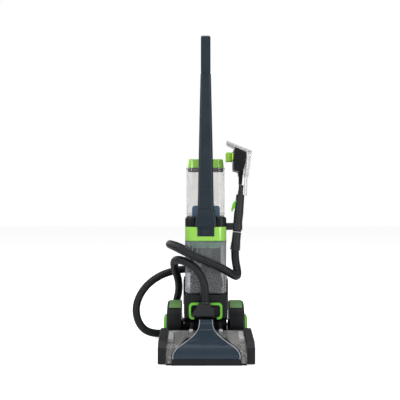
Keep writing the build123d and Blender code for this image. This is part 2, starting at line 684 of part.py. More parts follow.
clean_centre_y = (clean_front_y + collar_rear_y) / 2
with BuildPart() as clean_tank:
    round_box(clean_half_width, (clean_front_y, collar_rear_y), (clean_low_z, clean_top_z), 26)
    fillet(clean_tank.faces().sort_by(Axis.Z)[0].edges(), 5)
    round_box(clean_half_width - clear_wall, (clean_front_y + clear_wall, collar_rear_y - clear_wall),
              (clean_low_z + clear_wall, clean_top_z + 1), 23.5, mode=Mode.SUBTRACT)
save(clean_tank, "clean_tank")

with BuildPart() as tank_neck_ring:
    round_box(clean_half_width - 4, (clean_front_y + 4, collar_rear_y - 4),
              (clean_top_z - 12, clean_top_z - 1), 22)
    round_box(clean_half_width - 8, (clean_front_y + 8, collar_rear_y - 8),
              (clean_top_z - 14, clean_top_z + 1), 18, mode=Mode.SUBTRACT)
save(tank_neck_ring, "tank_neck_ring")

with BuildPart() as clean_tank_cap:
    with BuildSketch(Plane.XY.offset(clean_top_z + 0.4)) as cap_base:
        with Locations((0, clean_centre_y)):
            RectangleRounded(2 * clean_half_width - 4, collar_rear_y - clean_front_y - 2, 25)
    with BuildSketch(Plane.XY.offset(cap_top_z)) as cap_head:
        with Locations((0, clean_centre_y)):
            RectangleRounded(2 * clean_half_width - 12, collar_rear_y - clean_front_y - 10, 21)
    loft([cap_base.sketch.face(), cap_head.sketch.face()])
    fillet(clean_tank_cap.faces().sort_by(Axis.Z)[-1].edges(), 4)
    round_box(clean_half_width - 8, (clean_front_y + 8, collar_rear_y - 8), (clean_top_z, cap_top_z - 5), 17,
              mode=Mode.SUBTRACT)
    for side in (-1, 1):
        prism_y([(side * 24, cap_top_z - 1), (side * 31, cap_top_z + 2), (side * 17, cap_top_z + 2)],
                clean_front_y - 2, collar_rear_y + 2, mode=Mode.SUBTRACT)
save(clean_tank_cap, "clean_tank_cap")

with BuildPart() as tank_valve:
    rod_z(0, clean_centre_y, 11, clean_low_z + clear_wall + 0.2, clean_low_z + 9)
    rod_z(0, clean_centre_y, 4, clean_low_z + 9, clean_low_z + 16)
save(tank_valve, "tank_valve")

# ---------------------------------------------------------------- stem and handle
# Half width of the stem and its depth at each height, from the foot to the handle joint.
stem_sections = [(459.4, 36.0, 38), (487, 28.5, 38), (530, 27.2, 37), (660, 25.0, 36), (830, 21.5, 35),
                 (stem_joint_z, 18.5, 34)]
foot_half_width = 38.0
hook_z = 900.0                  # swivel of the upper cord hook
hook_base_y = 174.0
with BuildPart() as stem:
    section_faces = []
    for z, half_width, depth in stem_sections:
        with BuildSketch(Plane.XY.offset(z)) as section:
            with Locations((0, stem_front(z) + depth / 2)):
                RectangleRounded(2 * half_width, depth, 8)
        section_faces.append(section.sketch.face())
    loft(section_faces, ruled=True)
    with BuildSketch(Plane.XY.offset(lid_top_z + gap)) as foot:
        with Locations((0, (stem_front(425) + pocket_rear_y - 4) / 2)):
            RectangleRounded(2 * foot_half_width, pocket_rear_y - 4 - stem_front(425), 7)
    with BuildSketch(Plane.XY.offset(459.4)) as foot_top:
        with Locations((0, stem_front(459.4) + 19)):
            RectangleRounded(72, 38, 8)
    loft([foot.sketch.face(), foot_top.sketch.face()])
    void_faces = []
    for z, half_width, depth in stem_sections:
        with BuildSketch(Plane.XY.offset(z + 3 if z < 460 else z + 0.2)) as void_section:
            with Locations((0, stem_front(z) + depth / 2)):
                RectangleRounded(2 * half_width - 7, depth - 7, 5)
        void_faces.append(void_section.sketch.face())
    loft(void_faces, ruled=True, mode=Mode.SUBTRACT)
    rod_y(0, hook_z, 11, hook_base_y - 8, hook_base_y)
save(stem, "stem")

trigger_y = 212.0               # pivot of the handle's trigger
trigger_z = 1057.0
trigger_half_width = 8.0
grip_outer = [(stem_front(961), 960.3), (150, 1092), (163, 1100), (208, 1097), (284, 1046), (287, 1028),
              (275, 1012), (200, 966), (176, 960.3)]
grip_inner = [(174, 990), (176, 1070), (205, 1070), (257, 1036), (255, 1028), (200, 992)]
grip_half_width = 17.0
with BuildPart() as handle_grip:
    prism_x(grip_outer, -grip_half_width, grip_half_width)
    fillet(handle_grip.edges().filter_by(Axis.X).group_by(Axis.Z)[-2:], 9)
    prism_x(grip_inner, -grip_half_width, grip_half_width, mode=Mode.SUBTRACT)
    chamfer(handle_grip.faces().sort_by(Axis.X)[0].edges(), 4)
    chamfer(handle_grip.faces().sort_by(Axis.X)[-1].edges(), 4)
    for side in (-1, 1):
        ear = side_range(side, trigger_half_width + gap, grip_half_width - 3)
        prism_x([(trigger_y - 5, trigger_z - 4), (trigger_y - 5, trigger_z + 16),
                 (trigger_y + 8, trigger_z + 12), (trigger_y + 5, trigger_z - 4)], *ear)
    rod_x(trigger_y, trigger_z, 2 + running_fit, -grip_half_width - 1, grip_half_width + 1,
          mode=Mode.SUBTRACT)
save(handle_grip, "handle_grip")

with BuildPart() as handle_trigger:
    rod_x(trigger_y, trigger_z, 4, -trigger_half_width, trigger_half_width)
    prism_x([(trigger_y - 3, trigger_z - 2), (trigger_y + 1, trigger_z + 4),
             (trigger_y + 34, trigger_z - 22), (trigger_y + 37, trigger_z - 32),
             (trigger_y + 31, trigger_z - 32), (trigger_y + 25, trigger_z - 25)],
            -trigger_half_width, trigger_half_width)
    rod_x(trigger_y, trigger_z, 2, -grip_half_width + 0.5, grip_half_width - 0.5)
save(handle_trigger, "handle_trigger")

# ---------------------------------------------------------------- cord hooks
with BuildPart() as cord_hook_upper:
    rod_y(0, hook_z, 10, hook_base_y + gap, hook_base_y + 5)
    rod_y(0, hook_z, 5, hook_base_y + 4, hook_base_y + 32)
    block((-8, 8), (hook_base_y + 28, hook_base_y + 33), (hook_z - 5, hook_z + 26))
    fillet(cord_hook_upper.edges().filter_by(Axis.Y).group_by(Axis.Z)[-1], 7)
save(cord_hook_upper, "cord_hook_upper")

lower_hook_z = 442.0
with BuildPart() as cord_hook_lower:
    block((-14, 14), (collar_rear_y + 0.1, collar_rear_y + 4), (lid_top_z + 4, collar_top_z - 9))
    block((-8, 8), (collar_rear_y + 3, collar_rear_y + 34), (lower_hook_z - 5, lower_hook_z + 4))
    block((-8, 8), (collar_rear_y + 29, collar_rear_y + 34), (lower_hook_z - 28, lower_hook_z + 4))
save(cord_hook_lower, "cord_hook_lower")

# ---------------------------------------------------------------- wand: grip, trigger, clip and cuff
wand_axis = (Vector(*wand_head) - Vector(*wand_foot)).normalized()


def on_wand(height, across=0.0):
    """The point on the wand's centre line at this height Z, moved across to the right."""
    share = (height - wand_foot[2]) / (wand_head[2] - wand_foot[2])
    x, y, z = between(wand_foot, wand_head, share)
    return (x + across, y, z)


wand_trigger_z = (478.0, 514.0)
wand_pivot_x = 108.0            # pivot of the spray trigger
wand_pivot_z = 511.0
with BuildPart() as wand_grip:
    rod_between(wand_foot, on_wand(470), wand_radius - 0.5, end_radius=wand_radius + 1)
    rod_between(on_wand(470), on_wand(536), wand_radius + 1, end_radius=wand_radius - 1)
    rod_between(on_wand(536), wand_head, wand_radius - 6, end_radius=wand_radius - 6)
    rod_between(on_wand(545), on_wand(570), wand_radius - 7, end_radius=wand_radius - 7)
    rod_between(on_wand(400), on_wand(572), 7, mode=Mode.SUBTRACT)
    low, high = wand_trigger_z
    trigger_room = [(80, low - 6), (80, high + 6), (110, high + 1), (105, low - 1)]
    prism_y(trigger_room, wand_foot[1] - 6.5, wand_foot[1] + 6.5, mode=Mode.SUBTRACT)
    rod_y(wand_pivot_x, wand_pivot_z, 2 + running_fit, wand_foot[1] - 9.5, wand_foot[1] + 9.5,
          mode=Mode.SUBTRACT)
save(wand_grip, "wand_grip")

with BuildPart() as wand_trigger:
    low, high = wand_trigger_z
    prism_y([(109, high), (103, high), (96, high - 10), (92, low + 10), (91, low), (94, low - 3),
             (99, low + 6), (103.6, low + 12)], wand_foot[1] - 6, wand_foot[1] + 6)
    rod_y(wand_pivot_x, wand_pivot_z, 2, wand_foot[1] - 9, wand_foot[1] + 9)
save(wand_trigger, "wand_trigger")

clip_z = (411.5, 435.5)
with BuildPart() as wand_clip:
    block((tank_half_width + 0.4, 112), (wand_foot[1] - 12, wand_foot[1] + 12), clip_z, corner=2)
    rod_z(112.5, wand_foot[1], 20.5, *clip_z)
    rod_between(on_wand(405), on_wand(445), wand_radius + 0.6, mode=Mode.SUBTRACT,
                end_radius=wand_radius + 0.9)
    block((112, 140), (wand_foot[1] - 12, wand_foot[1] + 12), (400, 450), mode=Mode.SUBTRACT)
save(wand_clip, "wand_clip")

cuff_foot = (104.0, 161.0, 340.0)
cuff_rings = 4
with BuildPart() as hose_cuff:
    rod_between(cuff_foot, between(cuff_foot, wand_foot, 0.97), 16, end_radius=15)
    for ring in range(cuff_rings):
        low = between(cuff_foot, wand_foot, 0.02 + 0.11 * ring)
        high = between(cuff_foot, wand_foot, 0.08 + 0.11 * ring)
        rod_between(low, high, 18.5 - 0.6 * ring)
    rod_between(between(cuff_foot, wand_foot, -0.02), between(cuff_foot, wand_foot, 1.02), 7,
                mode=Mode.SUBTRACT)
save(hose_cuff, "hose_cuff")

# ---------------------------------------------------------------- hand tool
tool_y = (113.0, 213.0)
tool_centre_y = sum(tool_y) / 2
disc_pitch = 33.6
disc_z = 668.0
disc_face_x = 96.0
with BuildPart() as tool_body:
    prism_y([(100, 699), (141, 681), (139, 658), (132, 625), (118, 615), (98, 620), (disc_face_x + 1, 640)],
            *tool_y)
    fillet(tool_body.edges().filter_by(Axis.Y), 3)
    prism_y([(123, 640), (140, 650), (133, 622), (128, 571), (117, 571), (117, 600)],
            tool_centre_y - 9, tool_centre_y + 9)
    prism_y([(114, 616), (133, 622), (131, 604), (116, 600)], tool_centre_y - 22, tool_centre_y + 22)
    for index in (-1, 0, 1):
        rod_x(tool_centre_y + index * disc_pitch, disc_z, 4 + running_fit, disc_face_x - 5, disc_face_x + 16,
              mode=Mode.SUBTRACT)
save(tool_body, "tool_body")

tool_duct_outer = [(74, 722), (76, 713), (142, 684.5), (142.5, 678), (137.5, 590), (137, 575), (137.5, 532),
                   (146, 532), (146.5, 552), (147.5, 592), (160, 686)]
tool_duct_inner = [(70, 721), (70, 717.5), (144, 686.5), (145, 678), (140, 590), (139.5, 575), (140, 528),
                   (143.5, 528), (144, 552), (145, 592), (157, 684)]
with BuildPart() as tool_duct:
    prism_y(tool_duct_outer, *tool_y)
    prism_y(tool_duct_inner, tool_y[0] + 2.5, tool_y[1] - 2.5, mode=Mode.SUBTRACT)
    for side_y in ((100, tool_centre_y - 16), (tool_centre_y + 16, 230)):
        block((120, 175), side_y, (500, 598), mode=Mode.SUBTRACT)
save(tool_duct, "tool_duct")

disc_radius = 16.2
disc_tuft_x = 71.5
for index in (-1, 0, 1):
    centre_y = tool_centre_y + index * disc_pitch
    with BuildPart() as tool_disc:
        rod_x(centre_y, disc_z, disc_radius, disc_face_x - 4.5, disc_face_x - gap)
        rod_x(centre_y, disc_z, 4, disc_face_x - 1, disc_face_x + 14)
        with BuildSketch(Plane.YZ.offset(disc_tuft_x)) as tufts:
            with Locations((centre_y, disc_z)):
                with PolarLocations(12, 8):
                    Circle(3)
                Circle(3)
        extrude(tufts.sketch, amount=disc_face_x - 4 - disc_tuft_x)
    save(tool_disc, f"tool_disc_{index + 2}")

# ---------------------------------------------------------------- hose
# The hose leaves the connector upward, goes over the left side to the rear, makes one loop behind
# the machine, then a wide coil out to the left, down to the floor and back up behind, comes forward
# over the left side, crosses the tank and turns up into the wand's cuff. Centre-line points.
hose_points = [
    (-2, 76, 175), (-2, 76, 204), (-6, 77, 235), (-18, 80, 264), (-40, 86, 290), (-68, 97, 306),
    (-94, 118, 311), (-109, 148, 304), (-113, 180, 286), (-108, 210, 258), (-99, 240, 222),
    (-98, 274, 178), (-110, 308, 132), (-114, 332, 84), (-89, 346, 41), (-44, 352, 15), (7, 354, 15),
    (51, 352, 40), (76, 344, 86), (76, 334, 138), (60, 324, 192), (20, 314, 236), (-42, 304, 257),
    (-112, 298, 252), (-178, 282, 231), (-230, 268, 189), (-258, 256, 132), (-255, 252, 78),
    (-230, 258, 34), (-186, 272, 16), (-136, 298, 15), (-86, 342, 16), (-22, 372, 15), (40, 376, 40),
    (72, 368, 98), (74, 354, 168), (50, 342, 232), (0, 330, 280), (-54, 312, 316), (-98, 280, 342),
    (-124, 236, 354), (-130, 186, 359), (-121, 140, 360), (-98, 102, 353), (-62, 80, 337),
    (-20, 73, 319), (22, 72, 301), (62, 76, 282), (92, 93, 262), (108, 118, 252), (112, 144, 264),
    (107, 159, 292), (104, 161, 316), (104, 161, 340),
]


def corner_radius(before, corner, after):
    """The radius of the arc at a corner of the route: 0.45 of the shorter run over the half turn."""
    run_in = Vector(*corner) - Vector(*before)
    run_out = Vector(*after) - Vector(*corner)
    half_turn = math.radians(run_in.get_angle(run_out) / 2)
    return 0.45 * min(run_in.length, run_out.length) / math.tan(half_turn)


hose_radii = [corner_radius(*hose_points[index - 1:index + 2]) for index in range(1, len(hose_points) - 1)]
with BuildPart() as hose:
    with BuildLine() as hose_route:
        FilletPolyline(*hose_points, radius=hose_radii)
    with BuildSketch(Plane(origin=hose_points[0], z_dir=(0, 0, 1))):
        Circle(hose_radius)
    sweep()
save(hose, "hose")
hose_length = hose_route.wires()[0].length
hose_section = math.pi * hose_radius ** 2
print("hose radii", [round(radius) for radius in hose_radii])
volume_ratio = hose.part.volume / hose_length / hose_section
print("hose length", round(hose_length), "volume ratio", round(volume_ratio, 4))

# ---------------------------------------------------------------- fasteners
screw_head_radius = 3.6
with BuildPart() as housing_screws:
    for x in (-46, 46):
        for z in (112, 186):
            rod_y(x, z, screw_head_radius, spine_rear_y + 0.1, spine_rear_y + 2.4)
    for x in (-11, 11):
        rod_y(x, 935, screw_head_radius, 174.1, 176)
save(housing_screws, "housing_screws")
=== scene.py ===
import json
import math
import random

import bmesh
import bpy
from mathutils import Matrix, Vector


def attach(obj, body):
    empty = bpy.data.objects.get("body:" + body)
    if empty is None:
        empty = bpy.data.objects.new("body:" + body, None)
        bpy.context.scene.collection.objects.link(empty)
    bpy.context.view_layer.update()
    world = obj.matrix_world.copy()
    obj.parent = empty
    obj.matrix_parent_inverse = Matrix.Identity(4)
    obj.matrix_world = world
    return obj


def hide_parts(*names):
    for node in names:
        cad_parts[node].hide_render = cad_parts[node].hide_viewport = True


# Upright carpet washer. Metres, +Z up, +Y to the rear, origin on the floor under the floor head.

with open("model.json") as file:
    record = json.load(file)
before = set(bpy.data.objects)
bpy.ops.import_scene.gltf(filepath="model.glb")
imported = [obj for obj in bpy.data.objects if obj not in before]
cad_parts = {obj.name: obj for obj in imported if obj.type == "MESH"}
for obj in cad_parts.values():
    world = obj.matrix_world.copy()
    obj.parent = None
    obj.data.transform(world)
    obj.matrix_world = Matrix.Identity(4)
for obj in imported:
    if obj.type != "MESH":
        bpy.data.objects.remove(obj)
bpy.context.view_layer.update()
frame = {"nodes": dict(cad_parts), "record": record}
nodes = frame["nodes"]

# ---------------------------------------------------------------- camera, floor and light
camera_place = Vector((-0.020, -1.77, 0.517))
camera_lens = 49.1              # mm, on a 36 mm sensor

camera_data = bpy.data.cameras.new("camera")
camera_data.lens = camera_lens
camera_data.sensor_width = 36
camera = bpy.data.objects.new("camera", camera_data)
camera.location = camera_place
camera.rotation_euler = (math.radians(90), 0, 0)
bpy.context.scene.collection.objects.link(camera)
bpy.context.scene.camera = camera


def link(name, mesh):
    """A new object for a mesh, in the scene."""
    obj = bpy.data.objects.new(name, mesh)
    bpy.context.scene.collection.objects.link(obj)
    return obj


def area_light(name, place, aim, size, power, colour=(1, 1, 1)):
    """A soft box at a place, turned to a point."""
    data = bpy.data.lights.new(name, "AREA")
    data.shape = "RECTANGLE"
    data.size, data.size_y = size
    data.energy = power
    data.color = colour
    light = bpy.data.objects.new(name, data)
    light.location = place
    light.rotation_euler = (Vector(aim) - Vector(place)).to_track_quat("-Z", "Y").to_euler()
    bpy.context.scene.collection.objects.link(light)


area_light("key_left", (-1.5, -1.5, 1.5), (0, 0.1, 0.4), (0.7, 1.9), 34)
area_light("key_right", (1.3, -1.7, 1.1), (0, 0.1, 0.4), (0.7, 1.9), 30)
area_light("top", (0, 0.2, 2.6), (0, 0.1, 0), (2.0, 2.0), 30)
area_light("back_left", (-1.6, 1.6, 1.6), (0, 0.2, 0.5), (1.2, 1.8), 22)

world = bpy.data.worlds.new("studio")
world.use_nodes = True
# The world is white where it is seen, directly or through clear plastic, and softer as light.
world_tree = world.node_tree
light_path = world_tree.nodes.new("ShaderNodeLightPath")
brightness = world_tree.nodes.new("ShaderNodeMapRange")
brightness.inputs["To Min"].default_value = 0.36
brightness.inputs["To Max"].default_value = 1.0
seen = world_tree.nodes.new("ShaderNodeMath")
seen.operation = "MAXIMUM"
world_tree.links.new(light_path.outputs["Is Camera Ray"], seen.inputs[0])
world_tree.links.new(light_path.outputs["Is Transmission Ray"], seen.inputs[1])
world_tree.links.new(seen.outputs["Value"], brightness.inputs["Value"])
world_tree.links.new(brightness.outputs["Result"], world_tree.nodes["Background"].inputs["Strength"])
world_tree.nodes["Background"].inputs["Color"].default_value = (1, 1, 1, 1)
bpy.context.scene.world = world
bpy.context.scene.view_settings.view_transform = "Standard"

# ---------------------------------------------------------------- materials


def new_material(name, values):
    """A Principled material with fixed values on its own sockets."""
    material = bpy.data.materials.new(name)
    material.use_nodes = True
    shader = material.node_tree.nodes["Principled BSDF"]
    for socket, value in values.items():
        shader.inputs[socket].default_value = value
    return material, shader


def object_noise(tree, scale, detail=3.0):
    """A noise texture in the object's own coordinates, in features per metre."""
    coordinates = tree.nodes.new("ShaderNodeTexCoord")
    noise = tree.nodes.new("ShaderNodeTexNoise")
    noise.inputs["Scale"].default_value = scale
    noise.inputs["Detail"].default_value = detail
    tree.links.new(coordinates.outputs["Object"], noise.inputs["Vector"])
    return noise


def spread(tree, source, low, high):
    """Maps a noise's middle range to the span low to high."""
    mapped = tree.nodes.new("ShaderNodeMapRange")
    mapped.inputs["From Min"].default_value = 0.3
    mapped.inputs["From Max"].default_value = 0.7
    mapped.inputs["To Min"].default_value = low
    mapped.inputs["To Max"].default_value = high
    tree.links.new(source.outputs["Fac"], mapped.inputs["Value"])
    return mapped


def add_bump(tree, shader, source, strength, distance):
    """Feeds a texture's height into the shader's normal."""
    bump = tree.nodes.new("ShaderNodeBump")
    bump.inputs["Strength"].default_value = strength
    bump.inputs["Distance"].default_value = distance
    tree.links.new(source.outputs[0], bump.inputs["Height"])
    tree.links.new(bump.outputs["Normal"], shader.inputs["Normal"])


def tint(tree, shader, source, colour, share):
    """Varies the base colour a little, darker and lighter, with a noise."""
    ramp = tree.nodes.new("ShaderNodeValToRGB")
    ramp.color_ramp.elements[0].position = 0.3
    ramp.color_ramp.elements[1].position = 0.7
    ramp.color_ramp.elements[0].color = tuple(c * (1 - share) for c in colour) + (1,)
    ramp.color_ramp.elements[1].color = tuple(min(1, c * (1 + share)) for c in colour) + (1,)
    tree.links.new(source.outputs["Fac"], ramp.inputs["Fac"])
    tree.links.new(ramp.outputs["Color"], shader.inputs["Base Color"])


def moulded(name, colour, rough=(0.3, 0.45), grain=1600, grain_depth=0.00012, strength=0.25, coat=0.0,
            share=0.10, gloss=0.22):
    """Moulded plastic or rubber: a fine grain, cloudy gloss and slight colour variation."""
    material, shader = new_material(name, {"Base Color": colour + (1,), "Coat Weight": coat,
                                           "Coat Roughness": 0.12, "Specular IOR Level": gloss})
    tree = material.node_tree
    cloud = object_noise(tree, 14, 4)
    tree.links.new(spread(tree, cloud, *rough).outputs["Result"], shader.inputs["Roughness"])
    tint(tree, shader, cloud, colour, share)
    add_bump(tree, shader, object_noise(tree, grain, 2), strength, grain_depth)
    return material


def clear(name, colour, transmission, rough=(0.03, 0.12)):
    """Clear moulded plastic: transmission, flow ripples, and a little haze here and there."""
    material, shader = new_material(name, {"Base Color": colour + (1,), "IOR": 1.2,
                                           "Transmission Weight": transmission})
    tree = material.node_tree
    cloud = object_noise(tree, 22, 3)
    tree.links.new(spread(tree, cloud, *rough).outputs["Result"], shader.inputs["Roughness"])
    tint(tree, shader, cloud, colour, 0.04)
    add_bump(tree, shader, object_noise(tree, 40, 1), 0.05, 0.0006)
    return material


def metal(name, colour, rough=(0.25, 0.4), line_scale=(4, 900, 900)):
    """Turned or brushed metal, with fine lines across one axis."""
    material, shader = new_material(name, {"Base Color": colour + (1,), "Metallic": 1.0})
    tree = material.node_tree
    coordinates = tree.nodes.new("ShaderNodeTexCoord")
    stretch = tree.nodes.new("ShaderNodeMapping")
    stretch.inputs["Scale"].default_value = line_scale
    noise = tree.nodes.new("ShaderNodeTexNoise")
    noise.inputs["Scale"].default_value = 1.0
    tree.links.new(coordinates.outputs["Object"], stretch.inputs["Vector"])
    tree.links.new(stretch.outputs["Vector"], noise.inputs["Vector"])
    tree.links.new(spread(tree, noise, *rough).outputs["Result"], shader.inputs["Roughness"])
    add_bump(tree, shader, noise, 0.15, 0.0001)
    return material


finish = {
    "black_plastic": moulded("black_moulding", (0.0050, 0.0058, 0.0072), (0.28, 0.42)),
    "navy_plastic": moulded("slate_navy_moulding", (0.0125, 0.0195, 0.0275), (0.34, 0.48), share=0.06),
    "dark_grey_plastic": moulded("dark_grey_moulding", (0.016, 0.017, 0.020), (0.36, 0.5)),
    "clear_plastic": clear("clear_moulding", (0.86, 0.855, 0.845), transmission=0.93),
    "smoke_clear_plastic": clear("faintly_smoked_moulding", (0.70, 0.72, 0.74), transmission=0.93),
    "tinted_clear_plastic": clear("blue_grey_tinted_moulding", (0.036, 0.052, 0.073), transmission=0.35),
    "green_clear_plastic": clear("green_tinted_moulding", (0.30, 0.55, 0.38), rough=(0.25, 0.4),
                                 transmission=0.35),
    "lime_plastic": moulded("lime_gloss_moulding", (0.24, 0.50, 0.070), (0.12, 0.2), coat=0.6, share=0.05,
                            gloss=0.4),
    "green_plastic": moulded("green_moulding", (0.11, 0.40, 0.025), (0.2, 0.3), coat=0.3, share=0.06),
    "muted_green_plastic": moulded("muted_green_moulding", (0.13, 0.27, 0.09), (0.4, 0.55)),
    "lime_bristle": moulded("lime_nylon", (0.36, 0.66, 0.08), (0.3, 0.4)),
    "blue_grey_plastic": moulded("blue_grey_moulding", (0.075, 0.12, 0.185), (0.35, 0.5)),
    "dark_rubber": moulded("dark_rubber", (0.009, 0.009, 0.010), (0.55, 0.75), grain=900, strength=0.4),
    "hose_rubber": moulded("hose_vinyl", (0.0055, 0.0068, 0.0082), (0.3, 0.42), grain=1200),
    "white_plastic": moulded("white_moulding", (0.72, 0.72, 0.70), (0.35, 0.5), share=0.03),
    # Pale grey is the real colour of the cover's blocks, clips and level ticks, and also paints the
    # highlights down the nozzle's sides.
    "pale_grey_plastic": moulded("pale_grey_moulding_and_painted_highlight", (0.42, 0.44, 0.45), (0.3, 0.45), share=0.04),
    "steel": metal("turned_steel", (0.60, 0.60, 0.62)),
    "motor_metal": metal("motor_can", (0.32, 0.33, 0.35), (0.35, 0.5), (900, 900, 6)),
    "brush_plastic": moulded("brush_core_moulding", (0.04, 0.04, 0.045), (0.4, 0.55)),
}
slot_of = {row["node"]: row["material_slot"] for row in frame["record"]["subparts"]}
for node, obj in nodes.items():
    obj.data.materials.clear()
    obj.data.materials.append(finish[slot_of[node]])

# ---------------------------------------------------------------- hose
# Centre-line points of the route, from the connector to the wand's cuff.
hose_points = [
    (-0.002, 0.076, 0.175), (-0.002, 0.076, 0.204), (-0.006, 0.077, 0.235), (-0.018, 0.080, 0.264),
    (-0.040, 0.086, 0.290), (-0.068, 0.097, 0.306), (-0.094, 0.118, 0.311), (-0.109, 0.148, 0.304),
    (-0.113, 0.180, 0.286), (-0.108, 0.210, 0.258), (-0.099, 0.240, 0.222), (-0.098, 0.274, 0.178),
    (-0.110, 0.308, 0.132), (-0.114, 0.332, 0.084), (-0.089, 0.346, 0.041), (-0.044, 0.352, 0.015),
    (0.007, 0.354, 0.015), (0.051, 0.352, 0.040), (0.076, 0.344, 0.086), (0.076, 0.334, 0.138),
    (0.060, 0.324, 0.192), (0.020, 0.314, 0.236), (-0.042, 0.304, 0.257), (-0.112, 0.298, 0.252),
    (-0.178, 0.282, 0.231), (-0.230, 0.268, 0.189), (-0.258, 0.256, 0.132), (-0.255, 0.252, 0.078),
    (-0.230, 0.258, 0.034), (-0.186, 0.272, 0.016), (-0.136, 0.298, 0.015), (-0.086, 0.342, 0.016),
    (-0.022, 0.372, 0.015), (0.040, 0.376, 0.040), (0.072, 0.368, 0.098), (0.074, 0.354, 0.168),
    (0.050, 0.342, 0.232), (0.000, 0.330, 0.280), (-0.054, 0.312, 0.316), (-0.098, 0.280, 0.342),
    (-0.124, 0.236, 0.354), (-0.130, 0.186, 0.359), (-0.121, 0.140, 0.360), (-0.098, 0.102, 0.353),
    (-0.062, 0.080, 0.337), (-0.020, 0.073, 0.319), (0.022, 0.072, 0.301), (0.062, 0.076, 0.282),
    (0.092, 0.093, 0.262), (0.108, 0.118, 0.252), (0.112, 0.144, 0.264), (0.107, 0.159, 0.292),
    (0.104, 0.161, 0.316), (0.104, 0.161, 0.340),
]
hose_diameter = 0.029
rib_pitch = 0.0058
rib_depth = 0.0011


def spline_points(points, resolution=12):
    """The points that a quadratic NURBS through this control polygon follows."""
    curve = bpy.data.curves.new("route", "CURVE")
    curve.dimensions = "3D"
    spline = curve.splines.new("NURBS")
    spline.points.add(len(points) - 1)
    for target, point in zip(spline.points, points):
        target.co = tuple(point) + (1,)
    spline.order_u = 3
    spline.use_endpoint_u = True
    spline.resolution_u = resolution
    carrier = link("route", curve)
    bpy.context.view_layer.update()
    mesh = bpy.data.meshes.new_from_object(carrier.evaluated_get(bpy.context.evaluated_depsgraph_get()))
    line = [v.co.copy() for v in mesh.vertices]
    bpy.data.objects.remove(carrier)
    bpy.data.meshes.remove(mesh)
    return line


def even_steps(line, step):
    """Points a constant step apart along a line."""
    spans = [(b - a).length for a, b in zip(line, line[1:])]
    total = sum(spans)
    count = max(2, round(total / step))
    result = []
    index, passed = 0, 0.0
    for number in range(count + 1):
        want = total * number / count
        while index < len(spans) - 1 and passed + spans[index] < want:
            passed += spans[index]
            index += 1
        share = (want - passed) / spans[index] if spans[index] else 0
        result.append(line[index].lerp(line[index + 1], min(1, share)))
    return result


def stitch(mesh, rings):
    """Joins each ring of vertices to the next one with faces."""
    for low, high in zip(rings, rings[1:]):
        for k in range(len(low)):
            following = (k + 1) % len(low)
            mesh.faces.new((low[k], low[following], high[following], high[k]))


def from_bmesh(name, mesh, smooth=True):
    """Turns a bmesh into an object, shaded smooth."""
    bmesh.ops.recalc_face_normals(mesh, faces=mesh.faces)
    for face in mesh.faces:
        face.smooth = smooth
    data = bpy.data.meshes.new(name)
    mesh.to_mesh(data)
    mesh.free()
    return link(name, data)


def tube(name, line, radius_at, sides=20):
    """A closed tube along a line, whose radius at each step comes from a function of its number."""
    mesh = bmesh.new()
    normal = Vector((0, 1, 0))
    rings = []
    for number, point in enumerate(line):
        ahead = line[min(number + 1, len(line) - 1)] - line[max(number - 1, 0)]
        ahead.normalize()
        normal = (normal - ahead * normal.dot(ahead)).normalized()
        side = ahead.cross(normal)
        radius = radius_at(number)
        ring = []
        for k in range(sides):
            turn = 2 * math.pi * k / sides
            offset = normal * radius * math.cos(turn) + side * radius * math.sin(turn)
            ring.append(mesh.verts.new(point + offset))
        rings.append(ring)
    stitch(mesh, rings)
    mesh.faces.new(list(reversed(rings[0])))
    mesh.faces.new(rings[-1])
    return from_bmesh(name, mesh)


hose_line = even_steps(spline_points(hose_points), rib_pitch / 4)
rib_heights = (0.0, rib_depth * 0.8, rib_depth, rib_depth * 0.8)
hose = tube("ribbed_hose", hose_line,
            lambda number: hose_diameter / 2 - rib_depth + rib_heights[number % 4])
hose.data.materials.append(finish["hose_rubber"])
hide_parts("hose")
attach(hose, "upright")

# ---------------------------------------------------------------- shared piece makers


def finished(obj, slot, body):
    """Gives a new piece the finish of a slot, and its body."""
    obj.data.materials.append(finish[slot])
    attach(obj, body)
    return obj


def bevelled_box(name, low, high, bevel=0.0015, segments=3):
    """A box between two corners, with every edge rounded."""
    mesh = bmesh.new()
    bmesh.ops.create_cube(mesh, size=1)
    for vertex in mesh.verts:
        vertex.co = Vector([low[i] + (high[i] - low[i]) * (vertex.co[i] + 0.5) for i in range(3)])
    bmesh.ops.bevel(mesh, geom=mesh.edges[:], offset=bevel, segments=segments, affect="EDGES", profile=0.5)
    return from_bmesh(name, mesh)


def smooth_value(table, at):
    """A smooth curve through a table of (place, value) rows, read at one place."""
    if at <= table[0][0]:
        return table[0][1]
    if at >= table[-1][0]:
        return table[-1][1]
    index = max(i for i in range(len(table) - 1) if table[i][0] <= at)
    (x0, y0), (x1, y1) = table[index], table[index + 1]

    def slope(i):
        before, after = table[max(i - 1, 0)], table[min(i + 1, len(table) - 1)]
        return (after[1] - before[1]) / (after[0] - before[0])

    t = (at - x0) / (x1 - x0)
    step = x1 - x0
    return ((2 * t ** 3 - 3 * t ** 2 + 1) * y0 + (t ** 3 - 2 * t ** 2 + t) * step * slope(index)
            + (3 * t ** 2 - 2 * t ** 3) * y1 + (t ** 3 - t ** 2) * step * slope(index + 1))


def rounded_ring(half_x, half_y, corner, per_corner=8):
    """Points round a rectangle with round corners, centred, in order."""
    points = []
    for quarter, (sx, sy) in enumerate(((1, 1), (-1, 1), (-1, -1), (1, -1))):
        for k in range(per_corner + 1):
            turn = math.radians(90 * (quarter + k / per_corner))
            points.append((sx * (half_x - corner) + corner * math.cos(turn),
                           sy * (half_y - corner) + corner * math.sin(turn)))
    return points


